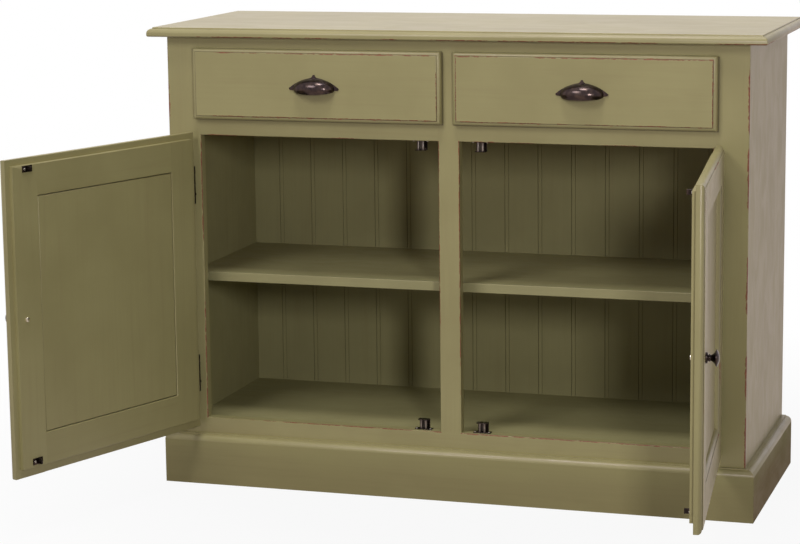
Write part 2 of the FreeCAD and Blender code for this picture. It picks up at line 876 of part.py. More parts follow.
def drawer_sides():
    # The outer and the inner side, grooved for the bottom and housed for the back.
    z1 = drawer_z0 + drawer_side_height
    sides = []
    for x0 in (-drawer_side_x, drawer_board_x1):
        side = box(x0, x0 + drawer_side_thickness, drawer_side_front_y, drawer_side_rear_y,
                   drawer_z0, z1)
        sides.append(side.cut(drawer_bottom()).cut(drawer_back()))
    return sides


def drawer_bottom():
    return box(drawer_board_x0 - drawer_bottom_housing, drawer_board_x1 + drawer_bottom_housing,
               drawer_side_front_y, drawer_back_rear_y, drawer_bottom_z0, drawer_bottom_z1)


def drawer_back():
    return box(drawer_board_x0 - drawer_back_housing, drawer_board_x1 + drawer_back_housing,
               drawer_back_front_y, drawer_back_rear_y,
               drawer_bottom_z1, drawer_bottom_z1 + drawer_back_height)


def pull_screw_seats():
    z = pull_middle_z + pull_boss_rise
    return [V(drawer_middle_x + side * pull_screw_spacing / 2, tongue_back_y, z)
            for side in (-1, 1)]


def drawer_front():
    lip_z0 = drawer_opening_bottom - drawer_overlay
    lip_z1 = drawer_opening_top + drawer_overlay
    lip = moulded_slab(V(drawer_lip_x0, lip_back_y, lip_z0), RIGHT, UP, FRONT,
                       drawer_lip_x1 - drawer_lip_x0, lip_z1 - lip_z0, lip_thickness,
                       lip_inset, lip_quirk)
    tongue = box(-drawer_side_x, -drawer_inner_x, lip_back_y, tongue_back_y,
                 drawer_opening_bottom + drawer_front_gap, drawer_opening_top - drawer_front_gap)
    front = lip.fuse(tongue).removeSplitter().cut(drawer_bottom())
    for side in drawer_sides():
        front = front.cut(side)
    for seat in pull_screw_seats():
        front = front.cut(cylinder(machine_screw_radius + machine_screw_clearance, seat,
                                   V(seat.x, lip_front_y, seat.z)))
    return front


def half_ellipsoid(half_width_x, projection, height):
    ball = Part.makeSphere(1.0)
    stretch = FreeCAD.Matrix()
    stretch.scale(half_width_x, projection, height)
    stretch.move(V(drawer_middle_x, lip_front_y, pull_middle_z))
    whole = ball.transformGeometry(stretch)
    side_x = drawer_middle_x - pull_width
    lip_z = pull_middle_z - pull_lip_drop
    far_y = lip_front_y - pull_width
    far_z = lip_z - pull_lip_fall * pull_width / pull_cup_projection
    crown_z = pull_middle_z + pull_width
    corners = [V(side_x, lip_front_y, lip_z), V(side_x, far_y, far_z),
               V(side_x, far_y, crown_z), V(side_x, lip_front_y, crown_z)]
    above_lip = Part.Face(Part.makePolygon(corners + corners[:1])).extrude(RIGHT * 2 * pull_width)
    return whole.common(above_lip)


def pull_flange():
    # A low plate with blunt ears and a small finial over the middle.
    def place(a, b):
        return V(drawer_middle_x + a, lip_front_y, pull_middle_z + b)

    ear = pull_width / 2
    ear_root = ear - pull_ear_round
    ear_height = pull_ear_half_height
    hollow = (pull_hollow_half_width, pull_hollow_height)
    finial = (pull_finial_half_width, pull_finial_height)
    steps = [
        (0, -pull_lip_drop, ear_root, -ear_height),
        (ear, 0, ear_root, ear_height),
        (pull_flank_half_width, pull_flank_height, pull_brow_half_width, pull_brow_height),
        hollow + finial,
        (0, pull_peak_height, -pull_finial_half_width, pull_finial_height),
        (-pull_hollow_half_width, pull_hollow_height, -pull_brow_half_width, pull_brow_height),
        (-pull_flank_half_width, pull_flank_height, -ear_root, ear_height),
        (-ear, 0, -ear_root, -ear_height),
    ]
    return closed_face(place, (-ear_root, -ear_height), steps).extrude(FRONT * pull_flange_thickness)


def cup_pull():
    outside = half_ellipsoid(pull_cup_half_width, pull_cup_projection, pull_cup_height)
    inside = half_ellipsoid(pull_cup_half_width - pull_wall, pull_cup_projection - pull_wall,
                            pull_cup_height - pull_wall)
    pull = outside.fuse(pull_flange()).cut(inside)
    for seat in pull_screw_seats():
        root = V(seat.x, lip_front_y, seat.z)
        boss = cylinder(pull_boss_radius, root, root + FRONT * pull_boss_length)
        thread = cylinder(machine_screw_radius + machine_thread_clearance, root,
                          root + FRONT * machine_screw_thread_bite)
        pull = pull.fuse(boss.common(outside)).cut(thread)
    return pull.removeSplitter()


def left_drawer_pieces():
    outer_side, inner_side = drawer_sides()
    return {
        "front": drawer_front(),
        "outer_side": outer_side,
        "inner_side": inner_side,
        "back": drawer_back(),
        "bottom": drawer_bottom(),
        "pull": cup_pull(),
        "pull_screws": group([machine_screw(seat, lip_front_y - machine_screw_thread_bite)
                              for seat in pull_screw_seats()]),
    }


# Assembly at rest: drawers shut, both doors standing open

def swung(shape, side, degrees):
    turned = shape.copy()
    turned.rotate(V(side * hinge_axis_x, hinge_axis_y, 0), UP, degrees)
    return turned


def cabinet_nodes():
    left_stile = outer_stile()
    left_mid = drilled_for_catches(mid_rail(), door_opening_top, -1, False)
    bottom = long_rail("bottom", door_opening_bottom, -1)
    left_side = side_panel()
    left_runner = side_runner()
    plinth_front, plinth_left = plinth_boards()
    frame_hinges = [hinge_frame_half(z) for z in hinge_levels()]
    return {
        "top_board": top_board(),
        "left_side_panel": left_side,
        "right_side_panel": mirrored(left_side),
        "left_face_stile": left_stile,
        "right_face_stile": mirrored(left_stile),
        "centre_face_stile": centre_stile(),
        "top_face_rail": long_rail("top", drawer_opening_top, 1),
        "left_mid_rail": left_mid,
        "right_mid_rail": mirrored(left_mid),
        "bottom_face_rail": drilled_for_catches(bottom, door_opening_bottom, 1, True),
        "floor_panel": floor_panel(),
        "floor_bearer": floor_bearer(),
        "shelf": shelf(),
        "plinth_front": plinth_front,
        "plinth_left": plinth_left,
        "plinth_right": mirrored(plinth_left),
        "back_boards": back_boards(),
        "back_rail": back_rail(),
        "left_drawer_runner": left_runner,
        "centre_drawer_runner": centre_runner(),
        "right_drawer_runner": mirrored(left_runner),
        "drawer_kickers": drawer_kickers(),
        "frame_hinge_halves": both_sides(frame_hinges),
        "catch_housings": both_sides([catch_housing(*seat) for seat in catch_seats]),
        "catch_springs": both_sides([catch_spring(*seat) for seat in catch_seats]),
        "catch_screws": both_sides([wood_screw(point, UP * -seat[1]) for seat in catch_seats
                                    for point in catch_screw_seats(*seat)]),
    }


def all_nodes():
    nodes = cabinet_nodes()
    for name, shape in left_door_pieces().items():
        nodes["left_door_" + name] = swung(shape, 1, -left_door_open_deg)
        nodes["right_door_" + name] = swung(mirrored(shape), -1, right_door_open_deg)
    for name, shape in left_drawer_pieces().items():
        nodes["left_drawer_" + name] = shape
        nodes["right_drawer_" + name] = mirrored(shape)
    return nodes


def main():
    os.makedirs("parts", exist_ok=True)
    for name, shape in all_nodes().items():
        print(name, len(shape.Solids), round(shape.Volume), shape.isValid())
        shape.exportStep(os.path.join("parts", name + ".step"))


main()
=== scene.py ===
import json
import math

import bmesh
import bpy
from mathutils import Matrix, Vector
from mathutils.bvhtree import BVHTree


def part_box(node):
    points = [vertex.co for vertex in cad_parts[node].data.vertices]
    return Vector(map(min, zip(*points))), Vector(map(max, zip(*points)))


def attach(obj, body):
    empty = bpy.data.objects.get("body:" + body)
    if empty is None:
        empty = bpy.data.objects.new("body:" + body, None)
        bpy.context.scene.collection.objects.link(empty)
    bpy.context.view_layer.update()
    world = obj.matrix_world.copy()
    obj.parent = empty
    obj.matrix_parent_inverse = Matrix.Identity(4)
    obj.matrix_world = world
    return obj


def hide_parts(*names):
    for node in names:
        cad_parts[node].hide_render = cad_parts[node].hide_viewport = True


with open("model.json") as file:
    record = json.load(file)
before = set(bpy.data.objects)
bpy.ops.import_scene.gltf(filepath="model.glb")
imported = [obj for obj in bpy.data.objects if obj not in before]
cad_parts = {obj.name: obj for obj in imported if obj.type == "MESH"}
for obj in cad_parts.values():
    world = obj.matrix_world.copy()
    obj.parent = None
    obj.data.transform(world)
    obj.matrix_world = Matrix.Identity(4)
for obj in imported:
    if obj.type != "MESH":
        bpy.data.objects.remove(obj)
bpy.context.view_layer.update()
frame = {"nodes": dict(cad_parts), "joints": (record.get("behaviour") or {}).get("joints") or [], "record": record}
nodes = frame["nodes"]
joints = {joint["name"]: joint for joint in frame["joints"]}
subparts = {row["node"]: row["material_slot"] for row in frame["record"]["subparts"]}
body_of_node = {name: body for body, names in frame["record"]["behaviour"]["bodies"].items()
                for name in names}
AXES = X, Y, Z = 0, 1, 2


def add_object(name, data):
    added = bpy.data.objects.new(name, data)
    bpy.context.scene.collection.objects.link(added)
    return added


# Camera, solved for the photograph's frame of 800 x 544, in metres, degrees and pixels
IMAGE_WIDTH = 800
CAMERA_PLACE = Vector((1.2860, -4.5636, 1.2542))
CAMERA_YAW = 17.676
CAMERA_PITCH = -9.619
CAMERA_ROLL = -0.683
FOCAL_PIXELS = 2430.5
SHIFT_Y = -0.0275
SENSOR = 36.0


def make_camera():
    data = bpy.data.cameras.new("camera")
    data.sensor_width = SENSOR
    data.lens = FOCAL_PIXELS * SENSOR / IMAGE_WIDTH
    data.shift_y = SHIFT_Y
    camera = add_object("camera", data)
    yaw, pitch, roll = (math.radians(a) for a in (CAMERA_YAW, CAMERA_PITCH, CAMERA_ROLL))
    ahead = Vector((-math.sin(yaw) * math.cos(pitch),
                    math.cos(yaw) * math.cos(pitch),
                    math.sin(pitch)))
    level = Vector((math.cos(yaw), math.sin(yaw), 0))
    above = level.cross(ahead)
    right = level * math.cos(roll) + above * math.sin(roll)
    up = above * math.cos(roll) - level * math.sin(roll)
    turn = Matrix((right, up, -ahead)).transposed().to_4x4()
    camera.matrix_world = Matrix.Translation(CAMERA_PLACE) @ turn
    bpy.context.scene.camera = camera


# Node trees

# Places of a mix node's colour sockets among its inputs and outputs
MIX_SHARE, MIX_FIRST, MIX_SECOND = 0, 6, 7
MIX_RESULT = 2

# The longest way a pattern is moved from one board to another, in metres
BOARD_STRIDE = (13.0, 7.0, 19.0)


class Graph:
    """A node tree, with short calls for the nodes used here."""

    def __init__(self, tree):
        self.tree = tree

    def put(self, socket, value):
        """Links a socket or sets its plain value. None leaves it as it is."""
        if isinstance(value, bpy.types.NodeSocket):
            self.tree.links.new(value, socket)
        elif value is not None:
            socket.default_value = value

    def add(self, kind, *values, out=0, **settings):
        """Adds a node with values for its inputs, in order, and returns one of its outputs."""
        node = self.tree.nodes.new("ShaderNode" + kind)
        for key, value in settings.items():
            setattr(node, key, value)
        for socket, value in zip(node.inputs, values):
            self.put(socket, value)
        return node.outputs[out]

    def math(self, operation, first, second=None):
        return self.add("Math", first, second, operation=operation)

    def weighted(self, *terms):
        """The sum of values, each times its weight."""
        total = None
        for value, weight in terms:
            value = self.math("MULTIPLY", value, weight)
            total = value if total is None else self.math("ADD", total, value)
        return total

    def vector(self, operation, first, second=None):
        return self.add("VectorMath", first, second, operation=operation)

    def part(self, coords, axis):
        return self.add("SeparateXYZ", coords, out=axis)

    def ramp(self, value, low, high, to_low=0.0, to_high=1.0):
        """Goes smoothly from one result to another while the value goes from low to high."""
        return self.add("MapRange", value, low, high, to_low, to_high,
                        interpolation_type="SMOOTHSTEP")

    def mix(self, share, first, second):
        node = self.tree.nodes.new("ShaderNodeMix")
        node.data_type = "RGBA"
        self.put(node.inputs[MIX_SHARE], share)
        self.put(node.inputs[MIX_FIRST], first)
        self.put(node.inputs[MIX_SECOND], second)
        return node.outputs[MIX_RESULT]

    def noise(self, place, scale, detail=2.0, rough=0.5, distort=0.0):
        return self.add("TexNoise", place, None, scale, detail, rough, None, None, None, distort)

    def streaks(self, place, axis, length, breadth, detail, rough, distort=0.0):
        """Noise stretched along an axis, with marks of the given length and breadth in metres."""
        scale = [1 / breadth] * 3
        scale[axis] = 1 / length
        return self.noise(self.vector("MULTIPLY", place, scale), 1.0, detail, rough, distort)

    def coords(self):
        return self.add("TexCoord", out="Object")

    def board_coords(self, coords):
        """Coordinates that show another part of the pattern on each board."""
        chance = self.add("ObjectInfo", out="Random")
        away = self.add("VectorMath", BOARD_STRIDE, None, None, chance, operation="SCALE")
        return self.vector("ADD", coords, away)

    def bump(self, height, strength, distance, normal=None):
        node = self.tree.nodes.new("ShaderNodeBump")
        self.put(node.inputs["Strength"], strength)
        self.put(node.inputs["Distance"], distance)
        self.put(node.inputs["Height"], height)
        self.put(node.inputs["Normal"], normal)
        return node.outputs[0]


class Finish(Graph):
    """A material with its node tree."""

    def __init__(self, name):
        self.material = bpy.data.materials.new(name)
        self.material.use_nodes = True
        super().__init__(self.material.node_tree)
        self.shader = self.tree.nodes["Principled BSDF"]

    def surface(self, colour, roughness, normal=None, **plain):
        self.put(self.shader.inputs["Base Color"], colour)
        self.put(self.shader.inputs["Roughness"], roughness)
        self.put(self.shader.inputs["Normal"], normal)
        for name, value in plain.items():
            self.put(self.shader.inputs[name.replace("_", " ")], value)
        return self.material


def srgb(red, green, blue):
    """A linear colour from screen values of 0 to 255."""
    def linear(value):
        value /= 255
        return value / 12.92 if value <= 0.04045 else ((value + 0.055) / 1.055) ** 2.4
    return (linear(red), linear(green), linear(blue), 1.0)


# Worn edges, and edges with painted shade

def outline(axes, centre, half, plane, width=1.0):
    """The outline of a rectangle in two axes, at a place on the third."""
    return ("outline", axes, width, centre, half, plane)


def line(axes, place, width=1.0):
    """A straight edge at a place in two axes."""
    return ("line", axes, width, place)


def edge_distance(finish, coords, edges):
    """Distance to the nearest of the edges, which are given for the right half and mirrored.

    An edge whose wear or painted shade is wider counts as nearer."""
    x, y, z = (finish.part(coords, axis) for axis in AXES)
    place = (finish.math("ABSOLUTE", x), y, z)

    def apart(axis, where):
        return finish.math("ABSOLUTE", finish.math("SUBTRACT", place[axis], where))

    nearest = None
    for kind, axes, width, centre, *rest in edges:
        a, b = (apart(axis, where) for axis, where in zip(axes, centre))
        if kind == "outline":
            half, plane = rest
            beyond = finish.math("MAXIMUM", finish.math("SUBTRACT", a, half[0]),
                                 finish.math("SUBTRACT", b, half[1]))
            third = sum(AXES) - sum(axes)
            a, b = finish.math("ABSOLUTE", beyond), apart(third, plane)
        distance = finish.math("DIVIDE", finish.math("MAXIMUM", a, b), width)
        nearest = distance if nearest is None else finish.math("MINIMUM", nearest, distance)
    return nearest


# Colours
PAINT = srgb(153, 145, 101)
PAINT_DARK = srgb(144, 136, 93)
PAINT_GRAIN = srgb(130, 117, 80)
PAINT_INSIDE = srgb(151, 145, 104)
PAINT_INSIDE_DARK = srgb(141, 135, 96)
PAINT_SHEEN = (1.0, 0.84, 0.94, 1.0)
# Painted shade: darker towards the floor and browner on the plinth's side, and dark in the quirks, in the gap
# round the drawers and in the grooves of the back boards
LOW_SHADE_TONE = srgb(104, 90, 60)
LOW_SHADE_TONE_SIDE = srgb(108, 82, 52)
CREVICE_SHADE = srgb(46, 40, 24)
UNDERCOAT = srgb(112, 58, 38)
WORN_WOOD = srgb(140, 94, 62)
PINE = srgb(212, 182, 138)
PINE_RING = srgb(194, 154, 106)
PINE_FIBRE = srgb(168, 126, 82)
PINE_PALE = srgb(218, 192, 150)

# Even patterns: repeats in a metre, detail and roughness of the noise
PAINT_CLOUDS = (5.0, 4.0, 0.55)
PAINT_SPECKS = (900.0, 2.0, 0.6)
WEAR_PATCHES = (7.0, 4.0, 0.6)
PINE_CLOUDS = (4.0, 3.0)
IRON_CLOUDS = (90.0, 4.0, 0.6)
IRON_GRIT = (900.0, 3.0, 0.6)
STEEL_CLOUDS = (260.0, 3.0)

# Patterns along the grain: length and breadth in metres, detail, roughness and distortion
BRUSH_MARKS = (0.22, 0.0045, 3.0, 0.6)
HAIR_MARKS = (0.10, 0.0011, 2.0, 0.5)
WOOD_GRAIN = (0.35, 0.016, 5.0, 0.62, 0.6)
SMEARS = (0.085, 0.04, 4.0, 0.6, 0.8)
WEAR_CRUMBS = (0.012, 0.003, 3.0, 0.7)
PINE_RINGS = (0.9, 0.020, 2.0, 0.5, 0.4)
PINE_FIBRES = (0.05, 0.0009, 3.0, 0.6)
STEEL_SCRATCHES = (0.006, 0.0003, 3.0, 0.6)

# Ramps: a span of noise, then the shares of a tint at its ends
NOISE_SPAN = (0.3, 0.7)
BRUSH_TINT = (0.35, 0.75, 0.0, 0.35)
GRAIN_TINT = (0.50, 0.72, 0.0, 0.18)
SMEAR_SPAN = (0.4, 0.85)
BARE_SPAN = (0.5, 0.7)
RING_SPAN = (0.0, 0.75)
FIBRE_TINT = (0.45, 0.75, 0.0, 0.45)
PALE_TINT = (0.35, 0.7, 0.0, 0.3)
RUBBED_SPAN = (0.35, 0.7)
CASTING_SPAN = (0.4, 1.0)

# Weights of patterns in a height or a roughness
BRUSH_HEIGHT = 0.5
HAIR_HEIGHT = 0.35
GRAIN_HEIGHT = 0.6
BRUSH_SMEAR = 0.25
FIBRE_HEIGHT = 0.7
RING_HEIGHT = 0.3
GRIT_GLOSS = 0.4

# Bumps: strength and distance in metres
PAINT_DEPTH = 0.00035
SPECK_BUMP = (0.12, 0.00012)
PINE_BUMP = (0.3, 0.0003)
IRON_BUMP = (0.10, 0.0003)
STEEL_BUMP = (0.1, 0.0002)

# Painted shade and wear of the paint, with lengths in metres
LOW_SHADE_TOP = 0.13
LOW_SHADE_CLOUD = (-0.25, 0.25)
GROOVE_TOP = (0.0002, 0.0009)
GROOVE_END = (0.002, 0.003)
GROOVE_SHADE_SHARE = 0.8
QUIRK_SHADE_SPAN = (0.0004, 0.0013)
QUIRK_SHADE_SHARE = 0.6
WEAR_WIDTH = 0.0015
WEAR_BLUR = (-0.0005, 0.0001)
WEAR_LIMIT = 0.62
WEAR_GAIN = 0.25
PATCH_BLUR = 0.05
CRUMB_REACH = (0.3, 1.5)
WORN_ROUGHNESS = 0.2
WORN_DEPTH = 0.8

RING_COUNT = 9.0
PINE_ROUGHNESS = (0.55, 0.7)
STEEL_ROUGHNESS = (0.24, 0.42)


def paint(name, grain, edges=(), shaded_quirks=(), inside=False, wear=0.6, low_shade=0.0, low_shade_tone=LOW_SHADE_TONE,
          level=0.5, gloss=(0.33, 0.43), relief=0.24, face=None):
    """Brushed satin paint, rubbed through to a red-brown undercoat along the edges.

    The brush follows the axis of the grain. Painted shade darkens the quirks, the gaps round the drawers and the
    paint low down. Level is the strength of the sheen and gloss the span of roughness. Grooves behind the face get
    painted shade too."""
    f = Finish(name)
    coords = f.coords()
    board = f.board_coords(coords)
    light, dark = (PAINT_INSIDE, PAINT_INSIDE_DARK) if inside else (PAINT, PAINT_DARK)
    cloud = f.noise(board, *PAINT_CLOUDS)
    speck = f.noise(coords, *PAINT_SPECKS)
    brush = f.streaks(board, grain, *BRUSH_MARKS)
    hair = f.streaks(board, grain, *HAIR_MARKS)
    grained = f.streaks(board, grain, *WOOD_GRAIN)
    smear = f.streaks(board, grain, *SMEARS)
    colour = f.mix(f.ramp(cloud, *NOISE_SPAN), dark, light)
    colour = f.mix(f.ramp(brush, *BRUSH_TINT), colour, dark)
    colour = f.mix(f.ramp(grained, *GRAIN_TINT), colour, PAINT_GRAIN)
    height = f.weighted((brush, BRUSH_HEIGHT), (hair, HAIR_HEIGHT), (grained, GRAIN_HEIGHT))
    roughness = f.ramp(f.weighted((smear, 1.0), (brush, BRUSH_SMEAR)), *SMEAR_SPAN, *gloss)
    # Painted shade: the paint darkens towards the floor, in clouds.
    if low_shade:
        low = f.math("ADD", f.ramp(f.part(coords, Z), 0.0, LOW_SHADE_TOP, 1.0, 0.0),
                     f.ramp(cloud, *NOISE_SPAN, *LOW_SHADE_CLOUD))
        colour = f.mix(f.ramp(low, 0.0, 1.0, 0.0, low_shade), colour, low_shade_tone)
    # Painted shade in the grooves of the boards, behind the face.
    if face is not None:
        deep = f.math("SUBTRACT", f.part(coords, Y), face)
        groove_shade = f.math("MULTIPLY", f.ramp(deep, *GROOVE_TOP), f.ramp(deep, *GROOVE_END, 1.0, 0.0))
        colour = f.mix(f.math("MULTIPLY", groove_shade, GROOVE_SHADE_SHARE), colour, CREVICE_SHADE)
    # Painted shade in the quirks and in the gap round a drawer's lip.
    if shaded_quirks:
        quirk_shade = f.ramp(edge_distance(f, coords, shaded_quirks), *QUIRK_SHADE_SPAN, QUIRK_SHADE_SHARE, 0.0)
        colour = f.mix(quirk_shade, colour, CREVICE_SHADE)
    if edges:
        distance = edge_distance(f, coords, edges)
        patch = f.noise(board, *WEAR_PATCHES)
        crumb = f.streaks(board, grain, *WEAR_CRUMBS)
        threshold = WEAR_LIMIT - WEAR_GAIN * wear
        patch = f.ramp(patch, threshold - PATCH_BLUR, threshold + PATCH_BLUR)
        reach = f.math("MULTIPLY", f.math("MULTIPLY", patch, WEAR_WIDTH),
                       f.ramp(crumb, *NOISE_SPAN, *CRUMB_REACH))
        worn = f.ramp(f.math("SUBTRACT", distance, reach), *WEAR_BLUR, 1.0, 0.0)
        bare = f.mix(f.ramp(crumb, *BARE_SPAN), UNDERCOAT, WORN_WOOD)
        colour = f.mix(worn, colour, bare)
        roughness = f.weighted((roughness, 1.0), (worn, WORN_ROUGHNESS))
        height = f.weighted((height, 1.0), (worn, -WORN_DEPTH))
    normal = f.bump(height, relief, PAINT_DEPTH)
    normal = f.bump(speck, *SPECK_BUMP, normal)
    return f.surface(colour, roughness, normal, Specular_Tint=PAINT_SHEEN, Specular_IOR_Level=level)


def pine(name, grain):
    """Bare planed pine with growth rings, dark fibres and paler clouds."""
    f = Finish(name)
    board = f.board_coords(f.coords())
    rings = f.streaks(board, grain, *PINE_RINGS)
    bands = f.ramp(f.math("FRACT", f.math("MULTIPLY", rings, RING_COUNT)), *RING_SPAN)
    fibre = f.streaks(board, grain, *PINE_FIBRES)
    cloud = f.noise(board, *PINE_CLOUDS)
    colour = f.mix(bands, PINE, PINE_RING)
    colour = f.mix(f.ramp(fibre, *FIBRE_TINT), colour, PINE_FIBRE)
    colour = f.mix(f.ramp(cloud, *PALE_TINT), colour, PINE_PALE)
    roughness = f.ramp(fibre, *NOISE_SPAN, *PINE_ROUGHNESS)
    height = f.weighted((fibre, FIBRE_HEIGHT), (bands, RING_HEIGHT))
    return f.surface(colour, roughness, f.bump(height, *PINE_BUMP))


def dark_iron(name, dark=srgb(50, 42, 42), rubbed=srgb(76, 63, 57), gloss=(0.14, 0.26)):
    """Dark bronzed castings, rubbed a little brighter and browner in patches."""
    f = Finish(name)
    coords = f.coords()
    cloud = f.noise(coords, *IRON_CLOUDS)
    grit = f.noise(coords, *IRON_GRIT)
    colour = f.mix(f.ramp(cloud, *RUBBED_SPAN), dark, rubbed)
    roughness = f.ramp(f.weighted((cloud, 1.0), (grit, GRIT_GLOSS)), *CASTING_SPAN, *gloss)
    normal = f.bump(f.math("ADD", cloud, grit), *IRON_BUMP)
    return f.surface(colour, roughness, normal, Metallic=0.9)


def steel(name, light=srgb(188, 184, 174), dull=srgb(150, 144, 132)):
    """Plain zinc-bright steel with fine scratches."""
    f = Finish(name)
    coords = f.coords()
    scratch = f.streaks(coords, X, *STEEL_SCRATCHES)
    colour = f.mix(f.noise(coords, *STEEL_CLOUDS), light, dull)
    roughness = f.ramp(scratch, *NOISE_SPAN, *STEEL_ROUGHNESS)
    return f.surface(colour, roughness, f.bump(scratch, *STEEL_BUMP), Metallic=1.0)


# Lines along which the paint is worn or carries painted shade, in metres, for the right half with the doors shut
LIP_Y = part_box("left_drawer_front")[0].y
FACE_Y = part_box("top_face_rail")[0].y
HALF_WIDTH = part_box("right_face_stile")[1].x
DRAWER_LOW, DRAWER_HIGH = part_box("right_drawer_front")
LIP_INSET = 0.007
LIP_QUIRK = 0.0016
RIM_DROP = 0.004
OPENING_X = (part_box("centre_face_stile")[1].x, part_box("right_face_stile")[0].x)
OPENING_Z = (0.131, 0.692)
DOOR_X = (0.0105, 0.510)
DOOR_Z = (0.116, 0.699)
SIGHT_X = (0.0825, 0.438)
SIGHT_Z = (0.192, 0.629)
STICKING = 0.008
STICKING_QUIRK = 0.0015
PLINTH_FLAT = 0.0865
TOP_LOW, TOP_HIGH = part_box("top_board")
TOP_EDGE_RISE = 0.001

# Edges whose wear or painted shade is wider than the others
CORNER_WIDTH = 2.0
RIM_WIDTH = 2.2


def rectangle(span_a, span_b, inset=0.0):
    """The centre and half size of a rectangle between two spans."""
    centre = ((span_a[0] + span_a[1]) / 2, (span_b[0] + span_b[1]) / 2)
    half = ((span_a[1] - span_a[0]) / 2 - inset, (span_b[1] - span_b[0]) / 2 - inset)
    return centre, half


drawer_x = (DRAWER_LOW.x, DRAWER_HIGH.x)
drawer_field = rectangle(drawer_x, (DRAWER_LOW.z, DRAWER_HIGH.z), LIP_INSET)
# The rim is a painted shadow line in the gap round a drawer's lip; its upper line is hidden behind the lip.
drawer_rim = rectangle(drawer_x, (DRAWER_LOW.z, DRAWER_HIGH.z - RIM_DROP))
door_field = rectangle(DOOR_X, DOOR_Z, LIP_INSET)
door_sight = rectangle(SIGHT_X, SIGHT_Z, -STICKING)
top_outline = rectangle((-TOP_HIGH.x, TOP_HIGH.x), (TOP_LOW.y, TOP_HIGH.y))

opening_edges = [outline((X, Z), *rectangle(OPENING_X, OPENING_Z), FACE_Y)]
corner_edges = [line((X, Y), (HALF_WIDTH, FACE_Y), CORNER_WIDTH)]
drawer_edges = [outline((X, Z), *drawer_field, LIP_Y)]
door_edges = [outline((X, Z), *door_field, LIP_Y), outline((X, Z), *door_sight, LIP_Y)]
top_edges = [outline((X, Y), *top_outline, TOP_LOW.z + TOP_EDGE_RISE)]

# Painted shade in the quirks of the mouldings, and a painted shadow line round each drawer's lip.
rim_shade = [outline((X, Z), *drawer_rim, FACE_Y, RIM_WIDTH)]
drawer_shaded_quirks = [outline((X, Z), *drawer_field, LIP_Y + LIP_QUIRK)] + rim_shade
door_shaded_quirks = [outline((X, Z), *door_field, LIP_Y + LIP_QUIRK),
               outline((X, Z), *door_sight, LIP_Y + STICKING_QUIRK)]

finishes = {
    # The rails and stiles carry the painted shadow line round the drawers.
    "rail": paint("paint_rail", X, opening_edges, rim_shade, wear=0.35),
    "low_rail": paint("paint_low_rail", X, opening_edges, wear=0.65),
    "stile": paint("paint_stile", Z, opening_edges + corner_edges, rim_shade, wear=0.65),
    "side": paint("paint_side", Z, corner_edges, wear=0.65, gloss=(0.34, 0.43), relief=0.10),
    "top": paint("paint_top", X, top_edges, wear=0.6, gloss=(0.32, 0.38), relief=0.15),
    # The plinth is darkened towards the floor with painted shade, browner on its sides.
    "plinth_front": paint("paint_plinth_front", X, low_shade=0.35, level=0.3, gloss=(0.45, 0.6)),
    "plinth_side": paint("paint_plinth_side", Y, low_shade=0.6, low_shade_tone=LOW_SHADE_TONE_SIDE, level=0.12,
                         gloss=(0.6, 0.75)),
    "plinth_front_moulding": paint("paint_plinth_front_moulding", X),
    "plinth_side_moulding": paint("paint_plinth_side_moulding", Y),
    "drawer": paint("paint_drawer", X, drawer_edges, drawer_shaded_quirks, wear=0.75),
    "door_stile": paint("paint_door_stile", Z, door_edges, door_shaded_quirks, wear=0.15),
    "door_rail": paint("paint_door_rail", X, door_edges, door_shaded_quirks, wear=0.15),
    "door_panel": paint("paint_door_panel", Z),
    "side_inner": paint("paint_side_inner", Z, inside=True, level=0.1, gloss=(0.55, 0.7)),
    "shelf": paint("paint_shelf", X, inside=True, level=0.42, gloss=(0.42, 0.52)),
    "floor": paint("paint_floor", X, inside=True, level=0.08, gloss=(0.55, 0.7)),
    # The back boards get painted shade in the grooves of their joints.
    "inside_z": paint("paint_inside_z", Z, inside=True, level=0.2, gloss=(0.5, 0.62),
                      face=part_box("back_boards")[0].y),
    "pine_x": pine("pine_x", X),
    "pine_y": pine("pine_y", Y),
    "pine_z": pine("pine_z", Z),
    "iron": dark_iron("dark_iron"),
    "black_iron": dark_iron("black_iron", srgb(34, 29, 28), srgb(62, 51, 46), gloss=(0.18, 0.32)),
    "bright_steel": steel("bright_steel", srgb(232, 228, 214), srgb(214, 208, 192)),
    "spring": dark_iron("worn_spring", srgb(92, 85, 80), srgb(124, 115, 107), gloss=(0.34, 0.5)),
    "steel": steel("steel"),
}


def finish_of(node):
    """The finish that a node's slot and name ask for."""
    slot = subparts[node]
    if node == "catch_springs":
        return "spring"
    if slot == "dark_iron":
        return "iron" if node.endswith("pull") else "black_iron"
    if slot == "steel":
        return "bright_steel" if node.endswith("knob_screw") else "steel"
    if slot == "bare_pine":
        if node.endswith(("_back", "_rail")):
            return "pine_x"
        return "pine_z" if node == "floor_bearer" else "pine_y"
    if slot == "inside_paint":
        return {"back_boards": "inside_z", "shelf": "shelf"}.get(node, "floor")
    if "_drawer_" in node:
        return "drawer"
    if "_door_" in node:
        if node.endswith("panel"):
            return "door_panel"
        return "door_rail" if node.endswith("rail") else "door_stile"
    if node == "top_board":
        return "top"
    if node.startswith("plinth"):
        return "plinth_front" if node == "plinth_front" else "plinth_side"
    if node.endswith("side_panel"):
        return "side"
    if node.endswith("rail"):
        return "low_rail" if node == "bottom_face_rail" else "rail"
    return "stile"


# Softened copies of the solids: rounded where an edge is exposed, not along a flush joint

# Lengths in metres
WELD = 1e-5
DEGENERATE = 1e-6
RAY_STEP = 1e-6
PROBE = 0.0004
TOUCH = 0.0005
NARROW = 0.004
ROUNDING = {"sage_paint": 0.0011, "inside_paint": 0.0009, "bare_pine": 0.0007,
            "dark_iron": 0.0003, "steel": 0.0002}

# Angles between faces
COPLANAR = math.radians(0.3)
FLAT = math.radians(0.5)
SHARP = math.radians(30)
SMOOTH = math.radians(47)

